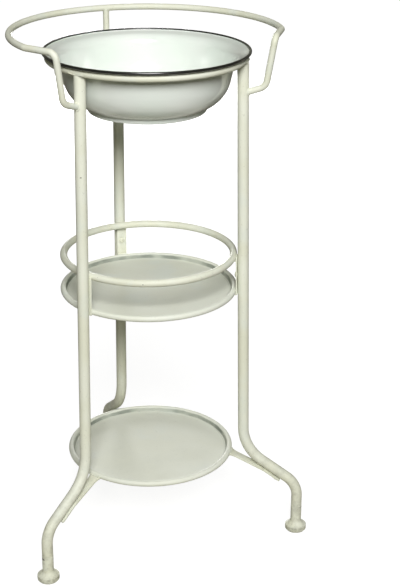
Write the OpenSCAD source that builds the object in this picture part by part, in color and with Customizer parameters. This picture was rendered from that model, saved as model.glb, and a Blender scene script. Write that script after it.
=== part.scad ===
// Iron wash basin stand: three bent tube legs, a ring that carries an enamel
// basin, an open towel rail round it, a shelf with a gallery ring and a low tray.
// Millimetres, +Z up. Origin: the middle of the outline seen from above, at floor
// level. The front is -Y. Everything is drawn about the basin's axis, which stands
// in front of the origin. Angles round that axis are measured from the front.

/* [Overall] */
// Height of the centre of the basin's rolled rim above the floor
rim_h = 847.5; // [780:0.5:1020]
// Radius of the circle on which the leg axes end at the top
leg_top_r = 153; // [138:0.5:188]
// Radius of the circle on which the leg axes turn outwards at their upper bend
leg_knee_r = 165; // [160:0.5:196]
// Radius of the circle that the three feet stand on
foot_circle_r = 261; // [245:0.5:320]

/* [Legs] */
// Outside diameter of the leg tube
tube_d = 18.5; // [16:0.5:23]
// Wall of the leg tube
tube_wall = 1.2; // [0.8:0.1:2]
// Slope of the leg's lower run, in degrees below the horizontal
leg_slope = 33.5; // [28:0.5:38]
// Height at which the lines of the sloping run and the foot's axis cross
ankle_h = 91; // [85:0.5:110]
// Axis radius of the upper bend
knee_bend_r = 75; // [60:1:85]
// Axis radius of the lower bend
ankle_bend_r = 42; // [34:1:50]
// Length of the solid, rounded top end of the leg
leg_tip_solid = 6; // [3:0.5:12]
// Drop of the centre of the leg's rounded top below the basin ring's axis
leg_tip_drop = 7; // [6:0.5:9]

/* [Feet] */
// How far the foot's stem stands proud of the leg tube all round
stem_over = 0.2; // [0:0.1:1.5]
// Height of the top of the stem, where the leg tube ends
stem_h = 47; // [40:1:52]
// Length of the plug on the stem, inside the leg tube
plug_l = 18; // [10:1:20]
// Diameter of the foot's pad
pad_d = 37; // [32:0.5:45]
// Height of the pad's upright wall
pad_wall_h = 8; // [4:0.5:8]
// Height of the pad's sloping shoulder
pad_shoulder_h = 2.5; // [1.5:0.5:5]
// Radius of the fillet from the shoulder to the stem
stem_fillet_r = 4; // [2:0.5:5]
// Diameter of the glide under the pad
glide_d = 31; // [24:0.5:36]
// Thickness of the glide
glide_t = 3; // [2:0.5:5]
// Diameter of the glide's locating spigot
spigot_d = 8; // [5:0.5:12]
// Length of the glide's locating spigot
spigot_h = 4; // [2:0.5:6]

/* [Rods] */
// Diameter of the round rod of the basin ring and of the rail
rod_d = 10.5; // [8:0.5:12]
// Diameter of the round rod of the gallery ring
gallery_rod_d = 12; // [9:0.5:14]

/* [Towel rail] */
// Distance of the rail's axis outside the circle of the leg tops
rail_out = 61.5; // [55:0.5:74]
// Height of the rail's axis above the centre of the basin's rim
rail_up = 28.5; // [20:0.5:44]
// Angle behind each front leg at which the rail leaves its circle
rail_leave = 17.5; // [12:0.5:24]
// Distance of the top of each front arm outside the circle of the leg tops
arm_top_out = 49.5; // [43:0.5:52]
// Distance of the lower bend of each front arm outside the circle of the leg tops
arm_foot_out = 36.5; // [32:0.5:40]
// Drop of the arm's lower bend below the centre of the basin's rim
arm_drop = 50.5; // [44:0.5:60]
// Further drop from the arm's lower bend to the leg's axis
arm_tail_drop = 12.5; // [6:0.5:16]
// Axis radius of the bend where the rail leaves its circle
rail_bend_r = 15; // [12:1:18]
// Axis radius of the bend at the top of each front arm
arm_top_bend_r = 12; // [8:1:16]
// Axis radius of the bend at the foot of each arm
arm_foot_bend_r = 16; // [12:1:18]

/* [Middle shelf] */
// Height of the axis of the gallery ring
gallery_h = 508.5; // [480:0.5:640]
// Height of the centre of the rolled edge of the middle tray
middle_h = 448.5; // [420:0.5:470]
// Width of every strap
strap_w = 17; // [14:0.5:22]
// Thickness of the three upright straps
gallery_strap_t = 2; // [1.5:0.5:3]

/* [Trays] */
// Radius of the rolled edge of both trays
edge_r = 5; // [4:0.5:6]
// Thickness of the sheet of both trays
tray_t = 1.2; // [0.8:0.1:2]
// Drop of the floor's underside below the centre of the rolled edge
tray_sink = 4.8; // [4.2:0.1:4.9]
// Width of the open seam under the rolled edge
seam_w = 1.8; // [1:0.1:2.5]
// Distance of the crease round the floor from the centre of the rolled edge
crease_in = 8; // [6.5:0.5:16]
// Height of the step at the crease
crease_h = 0.5; // [0.2:0.1:0.8]
// Outside radius of the low tray
low_tray_r = 143.5; // [120:0.5:146]
// Height of the centre of the rolled edge of the low tray
low_tray_h = 146.5; // [138:0.5:152]
// Thickness of the three low straps
low_strap_t = 3; // [2:0.5:4]
// Distance outside the upper bend's circle at which the low strap meets the leg
low_strap_meet = 38; // [34:1:41]
// Length of each low strap along the leg
low_strap_run = 34; // [28:1:36]
// Distance of the low bolt from the outer end of its strap
low_bolt_inset = 8; // [7:0.5:12]
// Radius of the bend of the low straps
low_strap_bend_r = 12; // [4:1:20]

/* [Bolts] */
// Diameter of the bolts
bolt_d = 5; // [4:0.5:6]
// Clearance hole in the straps, wider than the bolt by this much
bolt_clear = 0.6; // [0.4:0.1:1]
// Length of the bolts under the head
bolt_l = 11; // [9:0.5:14]
// Diameter of the bolt heads
head_d = 9; // [8:0.5:11]
// Height of the bolt heads
head_h = 2.8; // [2:0.1:3.5]
// Size of the socket in the heads, across its flats
hex_af = 3; // [2.5:0.5:4]
// Depth of the socket in the heads
hex_depth = 1.6; // [1:0.1:1.8]
// Diameter of the threaded insert in the leg tube
insert_d = 7; // [6.5:0.5:8]
// Diameter of the insert's bulge inside the tube
insert_bulge_d = 9; // [8:0.5:10]
// Length of the insert
insert_l = 9; // [7:0.5:10]
// Diameter of the washers under the low bolts
washer_d = 11; // [10:0.5:13]
// Thickness of the washers
washer_t = 1; // [0.8:0.1:1.6]

/* [Basin] */
// Distance of the basin ring's axis outside the circle of the leg tops
ring_out = 3; // [1:0.5:4]
// Distance of the centre of the basin's rolled rim outside the basin ring's axis
rim_out = 7.2; // [6:0.2:12]
// Radius of the rolled rim
bead_r = 2.4; // [2.2:0.1:3.4]
// Depth of the basin from the centre of the rim to the underside of its base
basin_depth = 95.5; // [88:0.5:98]
// Thickness of the enamelled sheet
basin_t = 1.3; // [1:0.1:2]
// Gap between the basin's wall and the inside of the basin ring, at the flange
wall_gap = 10; // [7:0.5:13]
// Lean of the basin's wall, in degrees from the vertical
wall_lean = 11.5; // [8:0.5:14]
// Radius between the wall and the sloping floor
bowl_bend_r = 55; // [40:1:55]
// Rise of the floor outside the pressed foot, in degrees
floor_slope = 19; // [18:0.5:26]
// Distance of the pressed foot inside the wall's top
foot_in = 45.5; // [45.5:0.5:60]
// Height of the pressed foot
base_step = 7.5; // [5:0.5:9]
// Drop of the wall's top below the centre of the rim
flange_drop = 6.9; // [4:0.1:8]
// Radius between the wall and the flange
flange_bend_r = 18; // [4:0.5:20]
// Width of the open seam under the rolled rim
rim_seam_w = 1.2; // [0.8:0.1:1.6]

/* [Fits] */
// Gap between the basin's flange and the ring that carries it
seat_gap = 0.3; // [0.2:0.05:0.5]
// Gap at a welded or clamped curved joint
weld_gap = 0.1; // [0.05:0.05:0.3]
// Gap round the foot's plug in the leg tube
plug_gap = 0.15; // [0.1:0.05:0.3]

/* [Hidden] */
$fn = 96;
// sides of the bent tubes and rods, steps of their bends and of the rail's circle
tube_sides = 24;
rod_sides = 16;
bend_steps = 7;
rail_steps = 40;
// Angles of the three legs, from the front
left = -60;
right = 60;
rear = 180;
cream = [0.89, 0.89, 0.84];
white = [0.95, 0.97, 0.95];
tube_r = tube_d / 2;
bore_r = tube_r - tube_wall;
rod_r = rod_d / 2;
gallery_rod_r = gallery_rod_d / 2;
// basin: rim, and the line of its flange from the wall's top to the rim
ring_r = leg_top_r + ring_out;
rim_r = ring_r + rim_out;
wall_top = [ring_r - rod_r - wall_gap, -flange_drop];
flange_end = [rim_r - bead_r + basin_t / 2, -0.65 * bead_r];
flange_rise = (flange_end[1] - wall_top[1]) / (flange_end[0] - wall_top[0]);
// basin ring: the flange's underside rests on it
ring_h = rim_h + wall_top[1] + (ring_r - wall_top[0]) * flange_rise
  - (rod_r + seat_gap + basin_t / 2) * sqrt(1 + flange_rise * flange_rise);
// leg: centre of its round top, upper bend, lean from the vertical
tip_h = ring_h - leg_tip_drop;
knee_h = ankle_h + (foot_circle_r - leg_knee_r) * tan(leg_slope);
leg_lean = atan((leg_knee_r - leg_top_r) / (tip_h - knee_h));
// radius of the leg's axis at height h
function leg_r(h) = leg_top_r + (tip_h - h) * tan(leg_lean);
// foot
stem_r = tube_r + stem_over;
plug_r = bore_r - plug_gap;
rail_r = leg_top_r + rail_out;
rail_h = rim_h + rail_up;
// upright straps lie on the inner side of the legs and lean with them
strap_in = tube_r + weld_gap * 2 + gallery_strap_t;
function inside_r(h, r) = leg_r(h) - (strap_in + weld_gap + r) / cos(leg_lean);
gallery_r = inside_r(gallery_h, gallery_rod_r);
middle_r = inside_r(middle_h, edge_r);
gallery_bolt_h = (gallery_h + middle_h) / 2;
low_r = low_tray_r - edge_r;
// low straps: from the low tray's rolled edge to the underside of the leg
meet_r = leg_knee_r + low_strap_meet;
under = (tube_r + weld_gap * 2) / cos(leg_slope);
meet_h = knee_h - low_strap_meet * tan(leg_slope) - under;
low_end_r = meet_r + low_strap_run * cos(leg_slope);
low_end_h = meet_h - low_strap_run * sin(leg_slope);
low_bolt_run = low_strap_run - low_bolt_inset;

function unit(v) = v / norm(v);
function lerp(a, b, k) = a + (b - a) * k;
// corner i of a route: the angle turned there
function turn_at(p, i) =
  acos(max(-1, min(1, unit(p[i] - p[i - 1]) * unit(p[i + 1] - p[i]))));
function trim_at(p, r, i) =
  (i <= 0 || i >= len(p) - 1) ? 0 : r[i] * tan(turn_at(p, i) / 2);

// Route of a bent rod: straight runs, with an arc of n steps at each corner
function bend_at(p, r, i, n) =
  let (u = unit(p[i] - p[i - 1]), v = unit(p[i + 1] - p[i]), t = turn_at(p, i),
       start = p[i] - u * trim_at(p, r, i), out = unit(cross(cross(u, v), u)))
  [for (k = [0 : n]) start + r[i] * (sin(t * k / n) * u + (1 - cos(t * k / n)) * out)];
function bent_route(p, r, n) = [for (i = [0 : len(p) - 1])
  each (i == 0 || i == len(p) - 1) ? [p[i]] : bend_at(p, r, i, n)];
// direction of a route at point i, and a side direction carried along it
function along_at(q, i) =
  unit((i > 0 ? unit(q[i] - q[i - 1]) : [0, 0, 0])
       + (i < len(q) - 1 ? unit(q[i + 1] - q[i]) : [0, 0, 0]));
function carried(q, side) =
  [for (i = 0, s = side - (side * along_at(q, 0)) * along_at(q, 0); i < len(q);
        i = i + 1, s = i < len(q) ? s - (s * along_at(q, i)) * along_at(q, i) : s)
    unit(s)];
// rings of points of radius r round a route, sides to a ring
function rings(q, r, side, sides) =
  let (s = carried(q, side)) [for (i = [0 : len(q) - 1])
    let (t = cross(along_at(q, i), s[i])) [for (k = [0 : sides - 1])
      q[i] + (is_list(r) ? r[i] : r) * (cos(360 * k / sides) * s[i]
                                        + sin(360 * k / sides) * t)]];
// closed solid through rings of points: a skin, with a flat end at each end
function skin_faces(n, m) = concat(
  [for (i = [0 : n - 2], k = [0 : m - 1]) each
    [[i * m + k, (i + 1) * m + k, (i + 1) * m + (k + 1) % m],
     [i * m + k, (i + 1) * m + (k + 1) % m, i * m + (k + 1) % m]]],
  [[for (k = [0 : m - 1]) k]], [[for (k = [m - 1 : -1 : 0]) (n - 1) * m + k]]);
module skin(g) {
  polyhedron([for (a = g) each a], skin_faces(len(g), len(g[0])), convexity = 8);
}
module bent_rod(p, r, d, sides, side) {
  skin(rings(bent_route(p, r, bend_steps), d / 2, side, sides));
}

// Distance of the basin's axis in front of the origin, which lies midway between
// the back of the rear foot and the front of the basin's rim
axis_front = (foot_circle_r + pad_d / 2 - rim_r - bead_r) / 2;
module on_axis() { translate([0, -axis_front, 0]) children(); }
// Children are drawn with +X pointing out from the basin's axis at this angle
module at_angle(a) { rotate([0, 0, a - 90]) children(); }

// ---- legs and feet
// frame on a leg's axis at height h, with +Z up along the axis
module on_leg(h) { translate([leg_r(h), 0, h]) rotate([0, -leg_lean, 0]) children(); }
// the leg's axis, from height top down to height low
function leg_route(top, low) = bent_route([[leg_r(top), 0, top],
    [leg_knee_r, 0, knee_h], [foot_circle_r, 0, ankle_h], [foot_circle_r, 0, low]],
  [0, knee_bend_r, ankle_bend_r, 0], bend_steps);
// one skin from the round tip down the outside and back up the inside
module leg_tube() {
  tip = [for (a = [85, 60, 40, 20]) [tube_r * cos(a), tip_h + tube_r * sin(a)]];
  outer = leg_route(tip_h, stem_h + weld_gap);
  inner = leg_route(tip_h - leg_tip_solid, stem_h + weld_gap);
  skin(concat(
    [for (t = tip) [for (k = [0 : tube_sides - 1]) [leg_r(t[1]), 0, t[1]]
      + t[0] * [sin(360 * k / tube_sides), cos(360 * k / tube_sides), 0]]],
    rings(outer, tube_r, [0, 1, 0], tube_sides),
    [for (i = [len(inner) - 1 : -1 : 0]) rings(inner, bore_r, [0, 1, 0], tube_sides)[i]]));
}

// a point on the sloping run, and the frame that points down and inwards there
module on_run(along) {
  translate([meet_r, 0,
             knee_h - low_strap_meet * tan(leg_slope)])
    rotate([0, leg_slope, 0]) translate([along + run_shift, 0, 0]) children();
}
// the perpendicular foot of the strap's corner lies this far along the run
run_shift = (tube_r + weld_gap * 2) * tan(leg_slope);

module leg() {
  color(cream) difference() {
    leg_tube();
    // saddle for the basin ring
    translate([0, 0, ring_h]) rotate_extrude()
      translate([ring_r, 0]) circle(r = rod_r + weld_gap);
    // hole for the gallery insert, through the inner wall
    on_leg(gallery_bolt_h) rotate([0, -90, 0])
      cylinder(h = tube_r + 1, d = insert_d + weld_gap);
    // hole for the low strap's insert, through the underside
    on_run(low_bolt_run) rotate([180, 0, 0])
      cylinder(h = tube_r + 1, d = insert_d + weld_gap);
  }
}

module foot() {
  pad_top = glide_t + pad_wall_h;
  shoulder_r = stem_r + stem_fillet_r;
  color(cream) translate([foot_circle_r, 0, 0]) difference() {
    rotate_extrude() {
      polygon([[0, glide_t], [pad_d / 2 - 1, glide_t], [pad_d / 2, glide_t + 1],
               [pad_d / 2, pad_top - 1], [pad_d / 2 - 1, pad_top],
               [shoulder_r, pad_top + pad_shoulder_h], [0, pad_top + pad_shoulder_h]]);
      translate([0, glide_t]) square([stem_r, stem_h - glide_t]);
      // plug inside the leg tube
      translate([0, glide_t]) square([plug_r, stem_h + plug_l - glide_t]);
      // fillet between shoulder and stem
      translate([0, pad_top + pad_shoulder_h - 0.5]) difference() {
        square([shoulder_r - 0.4, stem_fillet_r + 0.5]);
        translate([shoulder_r, stem_fillet_r + 0.5]) circle(r = stem_fillet_r);
      }
    }
    translate([0, 0, glide_t - 1])
      cylinder(h = spigot_h + 1.5, d = spigot_d + 2 * weld_gap);
  }
}

module glide() {
  color([0.8, 0.8, 0.76]) translate([foot_circle_r, 0, 0]) {
    cylinder(h = glide_t, d = glide_d);
    cylinder(h = glide_t + spigot_h, d = spigot_d);
  }
}

// ---- rings and rail
module rod_ring(r, h, d) {
  color(cream) translate([0, 0, h]) rotate_extrude() translate([r, 0]) circle(d = d);
}

// route of one end of the rail, in the frame of a front leg: out, back, up
rail_lead = 4;
rail_end = [rail_r * cos(rail_leave), rail_r * sin(rail_leave), rail_h];
rail_corner = rail_end + rail_lead * [sin(rail_leave), -cos(rail_leave), 0];
arm_top = [leg_top_r + arm_top_out, 0, rail_h];
arm_foot = [leg_top_r + arm_foot_out, 0, rim_h - arm_drop];
arm_tail = [leg_top_r, 0, rim_h - arm_drop - arm_tail_drop];

// the frame of a front leg, turned to where it stands
function stand_at(a, p) =
  [p[0] * sin(a) + p[1] * cos(a), -p[0] * cos(a) + p[1] * sin(a), p[2]];
rail_half = [for (p = bent_route([rail_end, rail_corner, arm_top, arm_foot,
                                  lerp(arm_foot, arm_tail, 0.85)],
    [0, rail_bend_r, arm_top_bend_r, arm_foot_bend_r, 0], bend_steps))
  stand_at(right, p)];
// the whole rail, from the left arm round the back to the right arm
rail_route = concat(
  [for (i = [len(rail_half) - 1 : -1 : 1]) [-rail_half[i][0], rail_half[i][1], rail_half[i][2]]],
  [for (k = [0 : rail_steps]) let (a = -right - rail_leave
      - k * (360 - 2 * (right + rail_leave)) / rail_steps)
    [rail_r * sin(a), -rail_r * cos(a), rail_h]],
  [for (i = [1 : len(rail_half) - 1]) rail_half[i]]);

module leg_clearance(a) {
  at_angle(a) on_leg(rim_h - 150) cylinder(h = 140, r = tube_r + weld_gap);
}

module towel_rail() {
  color(cream) difference() {
    skin(rings(rail_route, rod_r, [0, 0, 1], rod_sides));
    leg_clearance(left);
    leg_clearance(right);
  }
}

module rail_rear_post() {
  top = [rail_r, 0, rail_h - rod_r / 2];
  low = [rail_r, 0, rim_h - arm_drop];
  color(cream) difference() {
    at_angle(rear) bent_rod([top, low, lerp(low, arm_tail, 0.9)],
      [0, arm_foot_bend_r, 0], rod_d, rod_sides, [0, 1, 0]);
    leg_clearance(rear);
    translate([0, 0, rail_h]) rotate_extrude()
      translate([rail_r, 0]) circle(r = rod_r + weld_gap);
  }
}

// ---- middle shelf and low tray
module gallery_strap() {
  low = middle_h - edge_r + 1 - gallery_bolt_h;
  high = gallery_h + 2 - gallery_bolt_h;
  color(cream) on_leg(gallery_bolt_h) difference() {
    translate([-strap_in, -strap_w / 2, low])
      cube([gallery_strap_t, strap_w, high - low]);
    rotate([0, -90, 0]) cylinder(h = strap_in + 1, d = bolt_d + bolt_clear);
  }
}

// distance of the seam's inner side from the centre of the rolled edge
seam_in = 1.2;
// tray with a flat floor, a low step round it at the crease, and a rolled edge
// that is open along a seam below
module tray(r, h) {
  color(cream) translate([0, 0, h]) rotate_extrude() {
    translate([0, -tray_sink]) polygon([[0, 0], [r - crease_in, 0],
      [r - crease_in + 0.6, crease_h], [r - seam_in - 0.5, crease_h],
      [r - seam_in - 0.5, crease_h + tray_t], [r - crease_in, crease_h + tray_t],
      [r - crease_in - 0.6, tray_t], [0, tray_t]]);
    translate([r, 0]) difference() {
      circle(r = edge_r);
      circle(r = edge_r - tray_t);
      translate([-seam_in, -edge_r - 1]) square([seam_w, edge_r + 1 - tray_sink / 2]);
    }
  }
}

// side outline of a bent strip: top face along p, bends rounded by r at corners
function arc_at(p, i, r, n) =
  let (u = unit(p[i] - p[i - 1]), v = unit(p[i + 1] - p[i]),
       t = acos(u * v), trim = r * tan(t / 2), start = p[i] - u * trim,
       side = sign(u[0] * v[1] - u[1] * v[0]),
       c = start + side * r * [-u[1], u[0]])
  [for (k = [0 : n]) let (a = side * t * k / n, s = start - c)
    c + [s[0] * cos(a) - s[1] * sin(a), s[0] * sin(a) + s[1] * cos(a)]];
function route(p, r, n) = [for (i = [0 : len(p) - 1])
  each (i == 0 || i == len(p) - 1) ? [p[i]] : arc_at(p, i, r[i], n)];
function normal_at(q, i) =
  let (u = unit(q[min(i + 1, len(q) - 1)] - q[max(i - 1, 0)])) [-u[1], u[0]];
function strip(q, a, b) = concat([for (i = [0 : len(q) - 1]) q[i] + a * normal_at(q, i)],
  [for (i = [len(q) - 1 : -1 : 0]) q[i] + b * normal_at(q, i)]);

// where the strap's top face starts, square against the rolled edge
low_way = unit([meet_r - low_r, meet_h - low_strap_t / 2 - low_tray_h]);
low_start = [low_r, low_tray_h] + (edge_r + weld_gap) * low_way
  + low_strap_t / 2 * [-low_way[1], low_way[0]];

module low_strap() {
  q = route([low_start, [meet_r, meet_h], [low_end_r, low_end_h]],
            [0, low_strap_bend_r, 0], 6);
  color(cream) difference() {
    rotate([90, 0, 0]) translate([0, 0, -strap_w / 2])
      linear_extrude(height = strap_w) polygon(strip(q, 0, -low_strap_t));
    on_run(low_bolt_run) rotate([180, 0, 0])
      cylinder(h = tube_r + low_strap_t + 5, d = bolt_d + bolt_clear);
  }
}

// ---- bolts, inserts and washers, drawn along +Z with the tube's axis at 0
// Children point from the tube's axis out through its wall and the strap
module at_gallery_bolt() {
  on_leg(gallery_bolt_h) rotate([0, -90, 0]) children();
}
module at_low_bolt() { on_run(low_bolt_run) rotate([180, 0, 0]) children(); }

// distance from the tube's axis to what bears on the outer face of each strap
face_gap = 0.02;
gallery_face = strap_in + face_gap;
low_face = tube_r + 2 * weld_gap + low_strap_t + face_gap;

module bolt(face) {
  translate([0, 0, face - bolt_l]) cylinder(h = bolt_l, d = bolt_d);
  difference() {
    translate([0, 0, face]) rotate_extrude() intersection() {
      square([head_d / 2, head_h]);
      translate([0, head_h - head_d]) circle(r = head_d);
    }
    translate([0, 0, face + head_h - hex_depth])
      cylinder(h = hex_depth + 1, d = hex_af / cos(30), $fn = 6);
  }
}

module insert() {
  difference() {
    union() {
      translate([0, 0, tube_r - 0.4 - insert_l]) cylinder(h = insert_l, d = insert_d);
      translate([0, 0, bore_r - 4]) cylinder(h = 2, d = insert_bulge_d);
    }
    translate([0, 0, -tube_r]) cylinder(h = 3 * tube_r, d = bolt_d + weld_gap);
  }
}

module washer() {
  difference() {
    translate([0, 0, low_face]) cylinder(h = washer_t, d = washer_d);
    cylinder(h = low_face + washer_t + 1, d = bolt_d + bolt_clear);
  }
}

module each_leg() { for (a = [left, right, rear]) at_angle(a) children(); }

// ---- basin
base_line = -basin_depth + basin_t / 2;
foot_top = [wall_top[0] - foot_in, base_line + base_step];
wall_foot_r = (wall_top[0] + (foot_top[1] - foot_top[0] * tan(floor_slope) - wall_top[1])
  * tan(wall_lean)) / (1 - tan(floor_slope) * tan(wall_lean));
wall_foot = [wall_foot_r, foot_top[1] + (wall_foot_r - foot_top[0]) * tan(floor_slope)];
basin_route = route([[0, base_line], [foot_top[0], base_line], foot_top, wall_foot, wall_top,
    flange_end],
  [0, 2.2, 1.6, bowl_bend_r, flange_bend_r, 0], 9);

module basin() {
  color(white) translate([0, 0, rim_h]) {
    rotate_extrude() polygon([for (p = strip(basin_route, basin_t / 2, -basin_t / 2))
      [max(p[0], 0), p[1]]]);
    rotate_extrude() translate([rim_r, 0]) difference() {
      circle(r = bead_r);
      circle(r = bead_r - basin_t);
      rotate([0, 0, 238]) translate([bead_r - basin_t - 0.4, -rim_seam_w / 2])
        square([basin_t + 0.8, rim_seam_w]);
    }
  }
}

on_axis() at_angle(left) leg();  // leg_front_left
on_axis() at_angle(right) leg();  // leg_front_right
on_axis() at_angle(rear) leg();  // leg_rear
on_axis() at_angle(left) foot();  // foot_front_left
on_axis() at_angle(right) foot();  // foot_front_right
on_axis() at_angle(rear) foot();  // foot_rear
on_axis() at_angle(left) glide();  // glide_front_left
on_axis() at_angle(right) glide();  // glide_front_right
on_axis() at_angle(rear) glide();  // glide_rear
on_axis() rod_ring(ring_r, ring_h, rod_d);  // basin_ring
on_axis() towel_rail();
on_axis() rail_rear_post();
on_axis() rod_ring(gallery_r, gallery_h, gallery_rod_d);  // gallery_ring
on_axis() at_angle(left) gallery_strap();  // gallery_strap_front_left
on_axis() at_angle(right) gallery_strap();  // gallery_strap_front_right
on_axis() at_angle(rear) gallery_strap();  // gallery_strap_rear
on_axis() tray(middle_r, middle_h);  // middle_tray
on_axis() tray(low_r, low_tray_h);  // low_tray
on_axis() at_angle(left) low_strap();  // low_strap_front_left
on_axis() at_angle(right) low_strap();  // low_strap_front_right
on_axis() at_angle(rear) low_strap();  // low_strap_rear
on_axis() color(cream) each_leg() at_gallery_bolt() bolt(gallery_face);  // gallery_bolts
on_axis() color("silver") each_leg() at_gallery_bolt() insert();  // gallery_inserts
on_axis() color(cream) each_leg() at_low_bolt() bolt(low_face + washer_t + face_gap);  // low_strap_bolts
on_axis() color(cream) each_leg() at_low_bolt() washer();  // low_strap_washers
on_axis() color("silver") each_leg() at_low_bolt() insert();  // low_strap_inserts
on_axis() basin();
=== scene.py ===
# Iron wash basin stand, painted cream, with an enamel basin.
# Sizes are in millimetres in the dictionaries and in metres in the meshes.
# Pieces are modelled round the basin's axis, and settle moves them to their place in the frame.
import math

import bmesh
import bpy
from mathutils import Matrix, Vector


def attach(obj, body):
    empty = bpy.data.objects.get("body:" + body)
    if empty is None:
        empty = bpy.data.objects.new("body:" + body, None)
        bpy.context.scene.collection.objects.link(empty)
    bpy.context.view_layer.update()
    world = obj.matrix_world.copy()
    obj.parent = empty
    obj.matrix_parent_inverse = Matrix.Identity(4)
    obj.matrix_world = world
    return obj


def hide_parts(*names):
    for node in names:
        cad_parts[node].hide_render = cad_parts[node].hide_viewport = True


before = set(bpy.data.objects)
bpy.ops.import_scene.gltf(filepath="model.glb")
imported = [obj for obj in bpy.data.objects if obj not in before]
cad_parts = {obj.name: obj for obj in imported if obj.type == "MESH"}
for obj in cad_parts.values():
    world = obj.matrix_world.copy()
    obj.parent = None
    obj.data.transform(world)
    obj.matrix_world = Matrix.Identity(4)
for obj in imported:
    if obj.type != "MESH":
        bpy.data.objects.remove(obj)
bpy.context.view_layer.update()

mm = 0.001
left, right, rear = -60, 60, 180  # legs, in degrees from the front
axisFront = 56.95  # the basin's axis stands this far in front of the origin
mostlyInward = 0.95  # middle level of the lumps, so that they hardly stand out past the true size


def deselectAll():
    if bpy.context.object and bpy.context.object.mode != "OBJECT":
        bpy.ops.object.mode_set(mode="OBJECT")
    bpy.ops.object.select_all(action="DESELECT")


def startEdit():
    bpy.ops.object.mode_set(mode="EDIT")
    bpy.ops.mesh.select_all(action="SELECT")


def endEdit():
    bpy.ops.object.mode_set(mode="OBJECT")


def selectOnly(piece):
    deselectAll()
    piece.select_set(True)
    bpy.context.view_layer.objects.active = piece


def selectWhere(kind, test):
    # edit mode: selects the verts, edges or faces whose middle passes the test
    bpy.ops.mesh.select_mode(type=kind)
    bpy.ops.mesh.select_all(action="DESELECT")
    piece = bpy.context.object
    mesh = bmesh.from_edit_mesh(piece.data)
    for item in {"VERT": mesh.verts, "EDGE": mesh.edges, "FACE": mesh.faces}[kind]:
        corners = [item] if kind == "VERT" else item.verts
        middle = sum((v.co for v in corners), Vector()) / len(corners)
        if test(piece.matrix_world @ middle, item):
            item.select_set(True)
    mesh.select_flush_mode()
    bmesh.update_edit_mesh(piece.data)


def modify(piece, kind, **settings):
    selectOnly(piece)
    made = piece.modifiers.new(kind.title(), kind)
    for name, value in settings.items():
        setattr(made, name, value)
    bpy.ops.object.modifier_apply(modifier=made.name)


def applyPlace(piece):
    selectOnly(piece)
    bpy.ops.object.transform_apply(location=True, rotation=True, scale=True)


def place(piece, matrix):
    piece.matrix_world = matrix @ piece.matrix_world
    applyPlace(piece)


def copyOf(piece):
    other = piece.copy()
    other.data = piece.data.copy()
    bpy.context.collection.objects.link(other)
    return other


def joinAll(pieces):
    selectOnly(pieces[0])
    for p in pieces:
        p.select_set(True)
    bpy.ops.object.join()
    return pieces[0]


def atAngle(a):
    # turns a piece modelled out along +X to stand at this angle from the front
    return Matrix.Rotation(math.radians(a - 90), 4, "Z")


def settle(piece, name, body, slotName, *nodes, smooth=35):
    # moves a piece from the basin's axis to the frame, then smooths it, hangs it on its body and hides the nodes it
    # stands in for
    piece.name = name
    piece.data.name = name
    piece.matrix_world = Matrix.Translation((0, -axisFront * mm, 0)) @ piece.matrix_world
    applyPlace(piece)
    bpy.ops.object.shade_smooth_by_angle(angle=math.radians(smooth))
    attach(piece, body)
    if nodes:
        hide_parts(*nodes)
    return piece


def cleanUp(piece, distance):
    selectOnly(piece)
    startEdit()
    bpy.ops.mesh.remove_doubles(threshold=distance)
    bpy.ops.mesh.normals_make_consistent(inside=False)
    endEdit()


def routeSteps(points, bends, turns=14):
    # straight runs with a turn at each inner point
    steps, at = [], Vector(points[0])
    for i in range(1, len(points) - 1):
        before = (points[i] - points[i - 1]).normalized()
        after = (points[i + 1] - points[i]).normalized()
        angle = before.angle(after)
        trim = bends[i] * math.tan(angle / 2)
        start = points[i] - before * trim
        out = (after - before * before.dot(after)).normalized()
        steps.append(("run", start - at))
        steps.append(("turn", start + out * bends[i], before.cross(after).normalized(), angle, turns))
        at = points[i] + after * trim
    steps.append(("run", points[-1] - at))
    return steps


def pull(steps, at):
    # edit mode with one open loop selected
    for step in steps:
        if step[0] == "run" and step[1].length > 1e-7:
            bpy.ops.mesh.extrude_region_move(TRANSFORM_OT_translate={"value": tuple(step[1])})
            at = at + step[1]
        elif step[0] == "turn":
            centre, axis, angle, count = step[1:]
            bpy.ops.mesh.spin(steps=count, angle=-angle, center=centre, axis=axis, dupli=False)
            at = centre + Matrix.Rotation(angle, 3, axis) @ (at - centre)
        elif step[0] == "grow":
            # a run whose end is scaled, such as one ring of a dome
            bpy.ops.mesh.extrude_region_move(TRANSFORM_OT_translate={"value": tuple(step[1])})
            at = at + step[1]
            bpy.ops.transform.resize(value=step[2], center_override=at)
    return at


def closeEnds():
    bpy.ops.mesh.select_all(action="SELECT")
    bpy.ops.mesh.fill_holes(sides=0)
    bpy.ops.mesh.select_all(action="SELECT")
    bpy.ops.mesh.normals_make_consistent(inside=False)
    endEdit()


def roundLoop(at, along, radius, sides):
    deselectAll()
    turn = Vector((0, 0, 1)).rotation_difference(Vector(along)).to_euler()
    bpy.ops.mesh.primitive_circle_add(vertices=sides, radius=radius, location=at, rotation=turn)
    startEdit()


# a round end runs from the full ring up to a small ring near its pole
poleTilt = math.radians(78)
domeRows = 5


def dome(radius, along, closing=False):
    # the rings of a round end as a list of steps, out from the pole or back to it
    tilts = [poleTilt * k / domeRows for k in range(domeRows + 1)]
    if not closing:
        tilts.reverse()
    return [("grow", Vector(along) * radius * abs(math.sin(b) - math.sin(a)), (math.cos(b) / math.cos(a),) * 3)
            for a, b in zip(tilts, tilts[1:])]


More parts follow.
